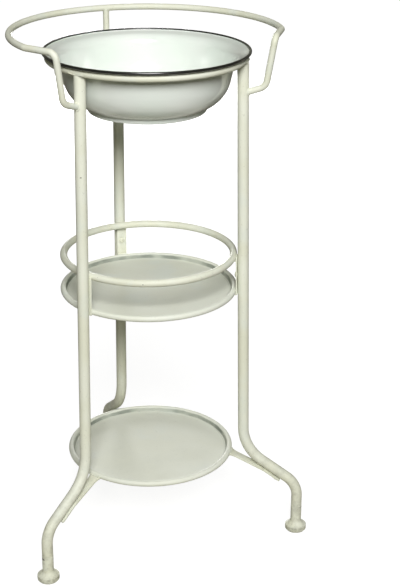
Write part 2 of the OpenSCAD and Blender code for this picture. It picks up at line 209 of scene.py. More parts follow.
def lathe(profile, steps):
    # one vertex, extruded along the profile, spun round the basin's axis
    deselectAll()
    bpy.ops.mesh.primitive_plane_add(size=0.01)
    startEdit()
    bpy.ops.mesh.merge(type="CENTER")
    bpy.ops.transform.translate(value=(profile[0][0] * mm, 0, profile[0][1] * mm))
    for a, b in zip(profile, profile[1:]):
        bpy.ops.mesh.extrude_vertices_move(
            TRANSFORM_OT_translate={"value": ((b[0] - a[0]) * mm, 0, (b[1] - a[1]) * mm)})
    bpy.ops.mesh.select_all(action="SELECT")
    bpy.ops.mesh.spin(steps=steps, angle=math.tau, center=(0, 0, 0), axis=(0, 0, 1), dupli=False)
    bpy.ops.mesh.select_all(action="SELECT")
    bpy.ops.mesh.remove_doubles(threshold=1e-6)
    bpy.ops.mesh.normals_make_consistent(inside=False)
    endEdit()
    return bpy.context.object


def arcPoints(centre, radius, start, end, count):
    return [(centre[0] + radius * math.cos(math.radians(start + (end - start) * k / count)),
             centre[1] + radius * math.sin(math.radians(start + (end - start) * k / count)))
            for k in range(count + 1)]


def roundedLine(points, radii, count):
    # side outline with its corners rounded
    line = [points[0]]
    for i in range(1, len(points) - 1):
        p, a, b = Vector(points[i]), Vector(points[i - 1]), Vector(points[i + 1])
        before, after = (p - a).normalized(), (b - p).normalized()
        angle = before.angle(after)
        trim = radii[i] * math.tan(angle / 2)
        start = p - before * trim
        side = 1 if before.x * after.y - before.y * after.x > 0 else -1
        centre = start + Vector((-before.y, before.x)) * side * radii[i]
        first = math.degrees(math.atan2(start.y - centre.y, start.x - centre.x))
        line += arcPoints(centre, radii[i], first, first + side * math.degrees(angle), count)
    return line + [points[-1]]


def lumps(name, size, depth=2):
    made = bpy.data.textures.new(name, "CLOUDS")
    made.noise_scale = size
    made.noise_depth = depth
    return made


basin = {
    "rimHeight": 847.5, "rimRadius": 163.2, "beadRadius": 2.4, "sheet": 1.3,
    "depth": 95.5, "lean": 11.5, "bowlBend": 55, "floorSlope": 19, "footRadius": 95.25, "footStep": 7.5,
    "wallTop": (140.75, -6.9), "flangeBend": 18, "flangeIn": -1.56,
    "curlFrom": 222, "curlTo": -108, "footBends": (2.2, 1.6), "bendSteps": 12, "curlSteps": 22,
    "around": 160, "swell": 0.12, "swellSize": 0.09,
}


def makeBasin():
    b = basin
    line = -b["depth"] + b["sheet"] / 2
    footTop = (b["footRadius"], line + b["footStep"])
    rise, lean = math.tan(math.radians(b["floorSlope"])), math.tan(math.radians(b["lean"]))
    # where the sloping floor meets the leaning wall
    corner = (b["wallTop"][0] + (footTop[1] - footTop[0] * rise - b["wallTop"][1]) * lean) / (1 - rise * lean)
    flangeEnd = (b["rimRadius"] - b["beadRadius"] + b["sheet"] / 2, b["flangeIn"])
    profile = roundedLine(
        [(0, line), (b["footRadius"], line), footTop, (corner, footTop[1] + (corner - footTop[0]) * rise),
         b["wallTop"], flangeEnd], [0, *b["footBends"], b["bowlBend"], b["flangeBend"], 0], b["bendSteps"])
    curl = arcPoints((b["rimRadius"], 0), b["beadRadius"] - b["sheet"] / 2,
                     b["curlFrom"], b["curlTo"], b["curlSteps"])
    piece = lathe([(x, z + b["rimHeight"]) for x, z in profile[:-1] + curl], b["around"])
    modify(piece, "SOLIDIFY", thickness=b["sheet"] * mm, offset=0, use_even_offset=True)
    # a pressed bowl is never quite true
    modify(piece, "DISPLACE", texture=lumps("bowlSwell", b["swellSize"]), strength=b["swell"] * mm,
           mid_level=mostlyInward)
    return settle(piece, "enamel_basin", "basin", "enamel", "basin", smooth=50)


legs = {
    "tube": 18.5, "wall": 1.2, "topRadius": 153, "kneeRadius": 165, "footCircle": 261,
    "slope": 33.5, "ankleHeight": 91, "kneeBend": 75, "ankleBend": 42,
    "ringRadius": 156, "rod": 10.5, "seatGap": 0.3, "tipDrop": 7,
    "footTop": 47.1, "endChamfer": 0.25, "endLip": 0.01, "insideUp": 24, "sides": 40, "bendSteps": 18,
}
flangeRise = (basin["flangeIn"] - basin["wallTop"][1]) / (
    basin["rimRadius"] - basin["beadRadius"] + basin["sheet"] / 2 - basin["wallTop"][0])
ringHeight = (basin["rimHeight"] + basin["wallTop"][1] + (legs["ringRadius"] - basin["wallTop"][0]) * flangeRise
              - (legs["rod"] / 2 + legs["seatGap"] + basin["sheet"] / 2) * math.hypot(1, flangeRise))
tipHeight = ringHeight - legs["tipDrop"]
slope = math.radians(legs["slope"])
kneeHeight = legs["ankleHeight"] + (legs["footCircle"] - legs["kneeRadius"]) * math.tan(slope)
legLean = math.atan((legs["kneeRadius"] - legs["topRadius"]) / (tipHeight - kneeHeight))


def legRadius(height):
    return legs["topRadius"] + (tipHeight - height) * math.tan(legLean)


def point(x, z, y=0):
    return Vector((x, y, z)) * mm


def onLeg(height):
    # a frame on the leg's axis, +Z up along it and -X towards the basin's axis
    return Matrix.Translation(point(legRadius(height), height)) @ Matrix.Rotation(-legLean, 4, "Y")


def makeLeg():
    v = legs
    r = v["tube"] / 2 * mm
    top, knee = point(legRadius(tipHeight), tipHeight), point(v["kneeRadius"], kneeHeight)
    ankle, low = point(v["footCircle"], v["ankleHeight"]), point(v["footCircle"], v["footTop"])
    down = (knee - top).normalized()
    start = top - down * r * math.sin(poleTilt)
    roundLoop(start, down, r * math.cos(poleTilt), v["sides"])
    at = pull(dome(r, down), start)
    at = pull(routeSteps([top, knee, ankle, low + point(0, v["endChamfer"])],
                         [0, v["kneeBend"] * mm, v["ankleBend"] * mm, 0], v["bendSteps"]), at)
    # worn chamfer at the cut end, then the bore
    chamfer = 1 - v["endChamfer"] * mm / r
    bore = (r - v["wall"] * mm) / (r - v["endChamfer"] * mm)
    pull([("grow", point(0, -v["endChamfer"]), (chamfer,) * 3), ("grow", point(0, v["endLip"]), (bore,) * 3),
          ("run", point(0, v["insideUp"]))], at)
    closeEnds()
    return bpy.context.object


feet = {
    "pad": 37, "padLow": 3, "padWall": 8, "shoulder": 2.5, "stem": 18.9, "stemTop": 47,
    "plug": 15.8, "plugTop": 65, "fillet": 4, "spigot": 8.2, "spigotTop": 7.5,
    "baseIn": 0.3, "baseUp": 1.2, "wallFrom": 3.4, "wallTo": 1.5, "brimIn": 2.2, "brimUp": 0.7,
    "lumpDepth": 0.28, "lumpSize": 0.011, "around": 72, "chipAt": (-0.2349, -0.1892, 0.0425),
}


def makeFoot():
    f = feet
    r, stem, plug, low = f["pad"] / 2, f["stem"] / 2, f["plug"] / 2, f["padLow"]
    padTop = low + f["padWall"]
    shoulder = padTop + f["shoulder"]
    # the outline from the glide's socket to the plug: across, up and the corner's radius
    corners = [
        (0, f["spigotTop"], 0), (f["spigot"] / 2, f["spigotTop"], 0.2), (f["spigot"] / 2, low, 0.2),
        (r - f["baseIn"], low, 0.4), (r, low + f["baseUp"], 0.4), (r, low + f["wallFrom"], 0),
        (r, padTop - f["wallTo"], 0), (r, padTop, 0.5), (r - f["brimIn"], padTop + f["brimUp"], 1.2),
        (stem + f["fillet"], shoulder, 2.4), (stem, shoulder + f["fillet"], 6), (stem, f["stemTop"], 0.4),
        (plug, f["stemTop"], 0.2), (plug, f["plugTop"], 1), (0, f["plugTop"], 0)]
    line = roundedLine([corner[:2] for corner in corners], [corner[2] for corner in corners], 4)
    piece = lathe(line, f["around"])
    # a casting: soft lumps on the pad and the stem, none where it plugs into the leg
    group = piece.vertex_groups.new(name="rough")
    for v in piece.data.vertices:
        height = v.co.z / mm
        shown = low + 0.3 < height < f["stemTop"] - 1 and v.co.xy.length > (plug + 0.4) * mm
        group.add([v.index], 1.0 if shown else 0.0, "REPLACE")
    modify(piece, "DISPLACE", texture=lumps("castLumps", f["lumpSize"]), strength=f["lumpDepth"] * mm,
           mid_level=1.0, vertex_group="rough")
    return piece


rings = {
    "galleryHeight": 508.5, "galleryRod": 6, "seam": 1.05, "seamAngle": 205, "seamReach": 1.25,
    "unevenness": 0.12, "lumpSize": 0.05, "around": 160, "sides": 24,
}
straps = {"width": 17, "thick": 2, "clear": 0.2, "weldGap": 0.1, "boltHeight": 478.5, "low": 444.5,
          "high": 510.5, "corner": 2.2, "edge": 0.35, "hole": 5.6}
drillLength = 30
strapIn = legs["tube"] / 2 + straps["clear"] + straps["thick"]


def insideRadius(height, r):
    # axis radius of a ring or rolled edge that is welded to the straps inside the legs
    return legRadius(height) - (strapIn + straps["weldGap"] + r) / math.cos(legLean)


galleryRadius = insideRadius(rings["galleryHeight"], rings["galleryRod"])


def makeRing(radius, height, rod):
    deselectAll()
    bpy.ops.mesh.primitive_torus_add(major_radius=radius * mm, minor_radius=rod * mm, location=(0, 0, height * mm),
                                     major_segments=rings["around"], minor_segments=rings["sides"])
    startEdit()
    # the ground-off butt weld where the rod's ends meet
    a = math.radians(rings["seamAngle"] - 90)
    seam = Vector((math.cos(a), math.sin(a), 0)) * radius * mm + Vector((0, 0, height * mm))
    selectWhere("VERT", lambda p, v: (p - seam).length < rod * rings["seamReach"] * mm)
    bpy.ops.transform.shrink_fatten(value=(rings["seam"] - 1) * rod * mm)
    endEdit()
    piece = bpy.context.object
    modify(piece, "DISPLACE", texture=lumps("rodLumps", rings["lumpSize"]), strength=rings["unevenness"] * mm,
           mid_level=mostlyInward)
    return piece


rail = {
    "rod": 5.25, "out": 61.5, "up": 28.5, "leave": 17.5, "lead": 4, "armTopOut": 49.5, "armFootOut": 36.5,
    "armDrop": 50.5, "tailDrop": 12.5, "bend": 15, "armTopBend": 12, "armFootBend": 16, "sides": 28,
    "hoopSteps": 60, "armEnd": 0.85, "postEnd": 0.9,
}
railRadius = legs["topRadius"] + rail["out"]
railHeight = basin["rimHeight"] + rail["up"]
armTop = point(legs["topRadius"] + rail["armTopOut"], railHeight)
armFoot = point(legs["topRadius"] + rail["armFootOut"], basin["rimHeight"] - rail["armDrop"])
armTail = point(legs["topRadius"], basin["rimHeight"] - rail["armDrop"] - rail["tailDrop"])


def makeTowelRail():
    v = rail
    leave = math.radians(v["leave"])
    turn = atAngle(right).to_3x3()
    end = turn @ point(railRadius * math.cos(leave), railHeight, railRadius * math.sin(leave))
    corner = end + turn @ Vector((math.sin(leave), -math.cos(leave), 0)) * v["lead"] * mm
    points = [end, corner, turn @ armTop, turn @ armFoot, turn @ armFoot.lerp(armTail, v["armEnd"])]
    start = point(0, railHeight, railRadius)
    roundLoop(start, (1, 0, 0), v["rod"] * mm, v["sides"])
    half = math.radians(180 - right - v["leave"])
    pull([("turn", point(0, railHeight), Vector((0, 0, -1)), half, v["hoopSteps"])], start)
    pull(routeSteps(points, [0, v["bend"] * mm, v["armTopBend"] * mm, v["armFootBend"] * mm, 0], 12), end)
    endEdit()
    piece = bpy.context.object
    applyPlace(piece)
    modify(piece, "MIRROR", use_axis=(True, False, False), merge_threshold=2e-5)
    selectOnly(piece)
    startEdit()
    closeEnds()
    return piece


def makeRearPost():
    low = point(railRadius, basin["rimHeight"] - rail["armDrop"])
    top = point(railRadius, railHeight - rail["rod"] / 2)
    roundLoop(top, (0, 0, -1), rail["rod"] * mm, rail["sides"])
    pull(routeSteps([top, low, low.lerp(armTail, rail["postEnd"])], [0, rail["armFootBend"] * mm, 0], 14), top)
    closeEnds()
    return bpy.context.object


trays = {
    "edge": 5, "sheet": 1.2, "sink": 4.8, "creaseIn": 8,
    "middleHeight": 448.5, "lowHeight": 146.5, "lowRadius": 138.5,
    "floorRings": (0, 8, 24, 44, 64, 84, 104, 118), "curlFrom": 196, "curlTo": -82, "curlSteps": 26, "around": 160,
    # outwards from the crease and from the rolled edge's middle, and up from the floor
    "creaseLine": ((-1.6, 0), (-0.9, 0.04), (-0.3, 0.25), (0.3, 0.46)),
    "gutterLine": ((-6.6, 0.5), (-5.7, 0.62), (-5.05, 1.0), (-4.65, 1.9)),
    "dent": 0.35, "waveSize": 0.07, "stillEdge": 3, "fadeOver": 30,
}
middleRadius = insideRadius(trays["middleHeight"], trays["edge"])


def makeTray(radius, height):
    t = trays
    floor = -t["sink"] + t["sheet"] / 2
    crease = radius - t["creaseIn"]
    profile = [(x, floor) for x in t["floorRings"]]
    profile += [(crease + x, floor + z) for x, z in t["creaseLine"]]
    profile += [(radius + x, floor + z) for x, z in t["gutterLine"]]
    profile += arcPoints((radius, 0), t["edge"] - t["sheet"] / 2, t["curlFrom"], t["curlTo"], t["curlSteps"])
    piece = lathe([(x, z + height) for x, z in profile], t["around"])
    modify(piece, "SOLIDIFY", thickness=t["sheet"] * mm, offset=0, use_even_offset=True)
    # thin sheet: the floor is a little wavy, the rolled edge stays round
    group = piece.vertex_groups.new(name="floor")
    for v in piece.data.vertices:
        inside = crease - t["stillEdge"] - v.co.xy.length / mm
        group.add([v.index], max(0.0, min(1.0, inside / t["fadeOver"])), "REPLACE")
    modify(piece, "DISPLACE", texture=lumps("sheetWaves", t["waveSize"]), strength=t["dent"] * mm, mid_level=0.5,
           direction="Z", vertex_group="floor")
    return piece


def cutOut(piece, tool):
    modify(piece, "BOOLEAN", operation="DIFFERENCE", object=tool, solver="EXACT")
    bpy.data.objects.remove(tool)


def softenEdges(piece, width, angle=50):
    modify(piece, "BEVEL", width=width * mm, segments=2, limit_method="ANGLE", angle_limit=math.radians(angle))


def makeGalleryStrap():
    s = straps
    deselectAll()
    tall = s["high"] - s["low"]
    bpy.ops.mesh.primitive_cube_add(size=1, location=(0, 0, 0))
    startEdit()
    bpy.ops.transform.resize(value=(s["thick"] * mm, s["width"] * mm, tall * mm))
    bpy.ops.transform.translate(value=point(s["thick"] / 2 - strapIn, s["low"] + tall / 2 - s["boltHeight"]))
    selectWhere("EDGE", lambda p, e: abs(e.verts[0].co.x - e.verts[1].co.x) > s["thick"] / 2 * mm)
    bpy.ops.mesh.bevel(offset=s["corner"] * mm, segments=4, affect="EDGES")
    endEdit()
    piece = bpy.context.object
    bpy.ops.mesh.primitive_cylinder_add(vertices=32, radius=s["hole"] / 2 * mm, depth=drillLength * mm,
                                        location=(-strapIn * mm, 0, 0), rotation=(0, math.pi / 2, 0))
    cutOut(piece, bpy.context.object)
    softenEdges(piece, s["edge"])
    place(piece, onLeg(s["boltHeight"]))
    return piece


lowStraps = {
    "width": 17, "flare": 23, "flareRun": 13, "flareParts": 6, "thick": 3, "clear": 0.2, "meetOut": 38, "run": 34,
    "bend": 12, "bendSteps": 8, "boltInset": 8, "edge": 0.45, "hole": 5.6,
    "endRound": 2.5, "endTilt": 81, "endSteps": 4,
}
meetRadius = legs["kneeRadius"] + lowStraps["meetOut"]
runTop = kneeHeight - lowStraps["meetOut"] * math.tan(slope)
meetHeight = runTop - (legs["tube"] / 2 + lowStraps["clear"]) / math.cos(slope)
runShift = (legs["tube"] / 2 + lowStraps["clear"]) * math.tan(slope)
# the middle of the low tray's rolled edge, and the way from it down to the strap's bend, in the leg's plane
lowEdge = Vector((trays["lowRadius"], trays["lowHeight"]))
lowWay = (Vector((meetRadius, meetHeight - lowStraps["thick"] / 2)) - lowEdge).normalized()
# a frame on the axis of the leg's sloping run at the low bolt, +X down along it and +Z out of its underside
underRun = (Matrix.Translation(point(meetRadius, runTop)) @ Matrix.Rotation(slope, 4, "Y")
            @ Matrix.Translation(point(lowStraps["run"] - lowStraps["boltInset"] + runShift, 0))
            @ Matrix.Rotation(math.pi, 4, "X"))


def flaredWidth(u):
    # from the tray's edge at 0 to the end of the flare at 1
    return lowStraps["width"] + (lowStraps["flare"] - lowStraps["width"]) * (1 - u) ** 2


def makeLowStrap():
    s = lowStraps
    meet = Vector((meetRadius, meetHeight))
    away = Vector((math.cos(slope), -math.sin(slope)))
    upA, upB = Vector((-lowWay.y, lowWay.x)), Vector((-away.y, away.x))
    start = lowEdge + lowWay * (trays["edge"] + straps["weldGap"])
    middle = meet - (upA + upB).normalized() * s["thick"] / 2
    end = meet + away * s["run"] - upB * s["thick"] / 2
    deselectAll()
    bpy.ops.mesh.primitive_plane_add(size=1, location=(0, 0, 0))
    startEdit()
    bpy.ops.transform.resize(value=(s["thick"] * mm, s["flare"] * mm, 1))
    bpy.ops.mesh.delete(type="ONLY_FACE")
    endEdit()
    piece = bpy.context.object
    lay = Vector((0, 0, 1)).rotation_difference(Vector((lowWay.x, 0, lowWay.y)))
    place(piece, Matrix.Translation(point(start.x, start.y)) @ lay.to_matrix().to_4x4())
    selectOnly(piece)
    startEdit()
    a, b, c = (point(p.x, p.y) for p in (start, middle, end))
    along = (b - a).normalized()
    # the flare where the strap is welded to the tray's edge
    at, parts = a, s["flareParts"]
    for k in range(parts):
        scale = flaredWidth((k + 1) / parts) / flaredWidth(k / parts)
        at = pull([("grow", along * s["flareRun"] / parts * mm, (1, scale, 1))], at)
    last = (c - b).normalized()
    steps = routeSteps([at, b, c - last * s["endRound"] * mm], [0, s["bend"] * mm, 0], s["bendSteps"])
    at = pull(steps, at)
    # rounded corners at the lower end
    half = s["width"] / 2 - s["endRound"]
    tilts = [math.radians(s["endTilt"] * k / s["endSteps"]) for k in range(s["endSteps"] + 1)]
    for before, now in zip(tilts, tilts[1:]):
        scale = (half + s["endRound"] * math.cos(now)) / (half + s["endRound"] * math.cos(before))
        at = pull([("grow", last * s["endRound"] * mm * (math.sin(now) - math.sin(before)), (1, scale, 1))], at)
    closeEnds()
    bpy.ops.mesh.primitive_cylinder_add(vertices=32, radius=s["hole"] / 2 * mm, depth=drillLength * mm)
    drill = bpy.context.object
    place(drill, underRun @ Matrix.Translation(point(0, legs["tube"] / 2)))
    cutOut(piece, drill)
    softenEdges(piece, s["edge"])
    return piece


bolts = {
    "shaft": 5, "length": 11, "head": 9, "headHeight": 2.8, "socket": 3, "socketDeep": 1.6, "socketEdge": 0.12,
    "tip": 0.5, "neck": 0.15, "rim": 0.2, "crownIn": 0.1, "crownSteps": 8, "around": 40, "keyLength": 10,
    "faceGap": 0.02, "washer": 1,
}


def makeBolt():
    # button head with a hexagon socket, drawn up +Z from the face it bears on
    b = bolts
    ball, shaft, head = b["head"], b["shaft"] / 2, b["head"] / 2
    wall = math.sqrt(ball ** 2 - head ** 2) + b["headHeight"] - ball
    outline = [(0, -b["length"]), (shaft - b["tip"], -b["length"]), (shaft, b["tip"] - b["length"]),
               (shaft, -b["neck"]), (shaft + b["neck"], 0), (head - b["rim"], 0), (head, b["rim"]),
               (head, wall - b["neck"])]
    for k in range(1, b["crownSteps"] + 1):
        x = (head - b["crownIn"]) * math.cos(math.pi / 2 * k / b["crownSteps"])
        outline.append((x if k < b["crownSteps"] else 0, math.sqrt(ball ** 2 - x ** 2) + b["headHeight"] - ball))
    piece = lathe(outline, b["around"])
    keyMiddle = b["headHeight"] - b["socketDeep"] + b["keyLength"] / 2
    bpy.ops.mesh.primitive_cylinder_add(vertices=6, radius=b["socket"] / 2 / math.cos(math.pi / 6) * mm,
                                        depth=b["keyLength"] * mm, location=point(0, keyMiddle))
    cutOut(piece, bpy.context.object)
    softenEdges(piece, b["socketEdge"], 55)
    return piece


def placedThree(piece, matrix):
    # one copy at each leg, joined
    copies = []
    for a in (left, right, rear):
        other = copyOf(piece)
        place(other, atAngle(a) @ matrix)
        copies.append(other)
    return joinAll(copies)


welds = {
    "bead": 1.35, "wider": 1.15, "sides": 16, "parts": 12, "saddle": 1.25, "lump": 0.5, "lumpSize": 0.0035,
    "armOut": 22, "armMore": 0.55, "postDown": 20, "postLess": 0.5,
    "ringAside": 14, "ringRadius": 5, "ringBelow": 0.6,
    "beadShort": 2, "wideShort": 1, "edgeSink": 0.1, "edgeAside": 0.3,
    # outwards from the strap's inner face, and up from the ring, the strap's top, the tray and the strap's foot
    "ringUnder": (-0.55, -4.7), "strapTop": (0.2, 0.2), "trayInside": (-0.5, 3.9), "strapFoot": (-0.2, -0.1),
}


def makeBead(length, radius):
    # short weld bead with round ends, along Y
    start = Vector((0, -(length / 2 - radius + radius * math.sin(poleTilt)) * mm, 0))
    roundLoop(start, (0, 1, 0), radius * math.cos(poleTilt) * mm, welds["sides"])
    at = pull(dome(radius * mm, (0, 1, 0)), start)
    at = pull([("run", Vector((0, (length - 2 * radius) * mm / welds["parts"], 0)))] * welds["parts"], at)
    pull(dome(radius * mm, (0, 1, 0), closing=True), at)
    closeEnds()
    return bpy.context.object


def makeSaddle(centre, out, radius, target, keep=None):
    # a loop pressed along the rod on to what it is welded to, then thickened
    deselectAll()
    turn = Vector((0, 0, 1)).rotation_difference(Vector(out)).to_euler()
    bpy.ops.mesh.primitive_circle_add(vertices=48, radius=radius * mm, location=centre, rotation=turn)
    piece = bpy.context.object
    if keep:
        startEdit()
        selectWhere("VERT", lambda p, v: not keep(p))
        bpy.ops.mesh.delete(type="VERT")
        endEdit()
    modify(piece, "SHRINKWRAP", target=target, wrap_method="PROJECT", use_project_z=True,
           use_positive_direction=False, use_negative_direction=True)
    selectOnly(piece)
    bpy.ops.object.convert(target="CURVE")
    piece = bpy.context.object
    piece.data.bevel_depth = welds["saddle"] * mm
    piece.data.bevel_resolution = 4
    piece.data.use_fill_caps = True
    bpy.ops.object.convert(target="MESH")
    piece = bpy.context.object
    cleanUp(piece, 2e-5)
    applyPlace(piece)
    return piece


def makeWelds(leg, towelRail):
    w = welds
    # arms and rear post on to the legs, and rear post under the rail
    out = (armFoot - armTail).normalized()
    beads = []
    for a in (left, right, rear):
        saddle = makeSaddle(armTail + out * w["armOut"] * mm, out, rail["rod"] + w["armMore"], leg)
        place(saddle, atAngle(a))
        beads.append(saddle)
    beads.append(makeSaddle(point(0, railHeight - w["postDown"], railRadius), (0, 0, -1),
                            rail["rod"] - w["postLess"], towelRail))
    # basin ring on to the leg tops, the lower half of each side
    spots = []
    for side in (-1, 1):
        mid = point(legs["ringRadius"], ringHeight, side * w["ringAside"])
        half = makeSaddle(mid, (0, side, 0), w["ringRadius"], leg,
                          keep=lambda p: p.z < (ringHeight - w["ringBelow"]) * mm)
        spots.append((half, [Vector()]))
    # straps to the gallery ring, the middle tray and the low tray
    face = Vector((legRadius(rings["galleryHeight"]) - strapIn, 0))
    trayFace = Vector((legRadius(trays["middleHeight"]) - strapIn, 0))
    onStrap = [face + Vector((0, rings["galleryHeight"])) + Vector(w["ringUnder"]),
               face + Vector((0, straps["high"])) + Vector(w["strapTop"]),
               trayFace + Vector((0, trays["middleHeight"])) + Vector(w["trayInside"]),
               trayFace + Vector((0, straps["low"])) + Vector(w["strapFoot"])]
    spots.append((makeBead(straps["width"] - w["beadShort"], w["bead"]), [point(*spot) for spot in onStrap]))
    lowAt = lowEdge + lowWay * (trays["edge"] - w["edgeSink"])
    lowUp = Vector((-lowWay.y, lowWay.x)) * (lowStraps["thick"] / 2 + w["edgeAside"])
    spots.append((makeBead(lowStraps["flare"] - w["wideShort"], w["bead"] * w["wider"]),
                  [point(*(lowAt + lowUp)), point(*(lowAt - lowUp))]))
    for piece, places in spots:
        for spot in places:
            for a in (left, right, rear):
                other = copyOf(piece)
                place(other, atAngle(a) @ Matrix.Translation(spot))
                beads.append(other)
        bpy.data.objects.remove(piece)
    piece = joinAll(beads)
    modify(piece, "DISPLACE", texture=lumps("weldLumps", w["lumpSize"], 3), strength=w["lump"] * mm,
           mid_level=0.5)
    return piece


class Wire:
    # a node's output, with the operators that the materials use
    def __init__(self, tree, socket=None):
        self.tree, self.socket = tree, socket

    def add(self, kind, settings=None, sockets=None, out=0):
        made = self.tree.nodes.new(kind)
        for name, value in (settings or {}).items():
            setattr(made, name, value)
        for name, value in (sockets or {}).items():
            if isinstance(value, Wire):
                self.tree.links.new(value.socket, made.inputs[name])
            else:
                made.inputs[name].default_value = value
        return Wire(self.tree, made.outputs[out])

    def calc(self, operation, *values):
        return self.add("ShaderNodeMath", {"operation": operation}, dict(enumerate(values)))

    def __add__(self, other): return self.calc("ADD", self, other)
    def __radd__(self, other): return self.calc("ADD", other, self)
    def __sub__(self, other): return self.calc("SUBTRACT", self, other)
    def __rsub__(self, other): return self.calc("SUBTRACT", other, self)
    def __mul__(self, other): return self.calc("MULTIPLY", self, other)
    def __rmul__(self, other): return self.calc("MULTIPLY", other, self)
    def __abs__(self): return self.calc("ABSOLUTE", self)

    def band(self, low, high):
        # 0 below low, 1 above high, smooth between
        return self.add("ShaderNodeMapRange", {"interpolation_type": "SMOOTHSTEP"},
                        {0: self, 1: low, 2: high, 3: 0.0, 4: 1.0})

    def tint(self, first, second):
        # self is the factor between two colours
        return self.add("ShaderNodeMix", {"data_type": "RGBA"}, {0: self, 6: first, 7: second}, out=2)

    def noise(self, scale, detail=2.0, rough=0.5):
        return self.add("ShaderNodeTexNoise", {},
                        {"Vector": self, "Scale": scale, "Detail": detail, "Roughness": rough})

    def cells(self, scale, out=0):
        return self.add("ShaderNodeTexVoronoi", {}, {"Vector": self, "Scale": scale}, out=out)

    def stretched(self, scale, location=(0, 0, 0)):
        return self.add("ShaderNodeMapping", {}, {"Vector": self, "Scale": scale, "Location": location})


def rgb(r, g, b):
    # screen values 0-255 to a linear colour
    return tuple(((c / 255 + 0.055) / 1.055) ** 2.4 if c > 10 else c / 255 / 12.92 for c in (r, g, b)) + (1.0,)


def newMaterial(name):
    made = bpy.data.materials.new(name)
    made.use_nodes = True
    tree = made.node_tree
    shader = tree.nodes["Principled BSDF"]
    where = Wire(tree).add("ShaderNodeTexCoord", out="Object")
    return made, shader, where


def heightOf(where):
    return where.add("ShaderNodeSeparateXYZ", sockets={0: where}, out="Z")


def lengthOf(where):
    return where.add("ShaderNodeVectorMath", {"operation": "LENGTH"}, {0: where}, out="Value")


def axisRadius(where):
    # distance from the stand's upright axis
    centred = where.stretched((1, 1, 1), (0, axisFront * mm, 0))
    return lengthOf(where.add("ShaderNodeVectorMath", {"operation": "MULTIPLY"}, {0: centred, 1: (1, 1, 0)}))


def link(shader, name, wire):
    wire.tree.links.new(wire.socket, shader.inputs[name])


def dress(shader, colour, rough, relief, strength, distance):
    # the three sockets that every material here drives
    bump = relief.add("ShaderNodeBump", {}, {"Strength": strength, "Distance": distance, "Height": relief})
    for name, wire in (("Base Color", colour), ("Roughness", rough), ("Normal", bump)):
        link(shader, name, wire)


paint = {
    "cream": rgb(225, 227, 212), "warm": rgb(218, 219, 199), "cool": rgb(217, 223, 213),
    "tray": rgb(226, 230, 222), "grime": rgb(116, 116, 98), "chip": rgb(62, 54, 44), "crease": rgb(112, 120, 110),
    "rough": 0.42, "specular": 0.32, "peel": 0.16,
}
darkening = {"lowest": 0.03, "highest": 0.24, "even": 0.08, "patchy": 0.3, "specks": 0.12,
        "seam": 0.6, "seamBand": (0.0002, 0.0011)}


def paintColour(where, blotch, tone):
    # cream paint with slow warm and cool patches and fine speckle
    base = where.noise(blotch, 3.0).band(0.35, 0.65).tint(paint["warm"], paint["cream"])
    cooler = where.stretched((1, 1, 1), (3.1, 1.7, 0.4)).noise(blotch * 1.7, 2.0).band(0.52, 0.72)
    base = (cooler * tone).tint(base, paint["cool"])
    return (where.noise(240.0, 2.0).band(0.62, 0.78) * 0.18).tint(base, paint["grime"])


def darkerNearFloor(where, height):
    # grey towards the floor, evenly, in patches and in fine specks, stronger the lower it is
    d = darkening
    share = 1 - height.band(d["lowest"], d["highest"])
    return share * (d["even"] + where.noise(55.0, 4.0, 0.6).band(0.4, 0.68) * d["patchy"]
                    + where.noise(190.0, 2.0).band(0.5, 0.7) * d["specks"])


def seamDirt(where, height, low, high):
    # dirt in the joint between the foot and the tube, broken up round it
    near = 1 - abs(height - legs["footTop"] * mm).band(*darkening["seamBand"])
    return near * where.noise(38.0, 2.0).band(low, high)


def creamPaint(name, blotch, tone, peel=1.0, seamed=False):
    made, shader, where = newMaterial(name)
    colour = paintColour(where, blotch, tone)
    up = heightOf(where)
    # darker in the low parts, and a few chips
    colour = darkerNearFloor(where, up).tint(colour, paint["grime"])
    chips = where.noise(150.0, 3.0, 0.6).band(0.735, 0.752) * where.noise(11.0, 1.0).band(0.52, 0.6)
    colour = (chips * 0.85).tint(colour, paint["chip"])
    rough = paint["rough"] + where.noise(34.0, 3.0) * 0.16 + chips * 0.2
    relief = where.noise(620.0, 2.0) * 0.5 + where.noise(70.0, 2.0) * 0.5 - chips * 1.5
    if seamed:
        seam = seamDirt(where, up, 0.46, 0.6)
        colour = (seam * darkening["seam"]).tint(colour, paint["chip"])
        relief = relief - seam * 1.2
    dress(shader, colour, rough, relief, paint["peel"] * peel, 0.0006)
    shader.inputs["Specular IOR Level"].default_value = paint["specular"]
    return made


# gutterOut is from the crease, under and over are down from the rolled edge's middle, the others are shares; crease
# and gutter are painted shade lines, pale is a painted highlight
trayShadingAndScuff = {
    "gutterOut": 2.9, "under": 4.4, "over": 4.0, "crease": 0.2, "gutter": 0.85, "pale": 0.45, "scuff": 0.05,
}


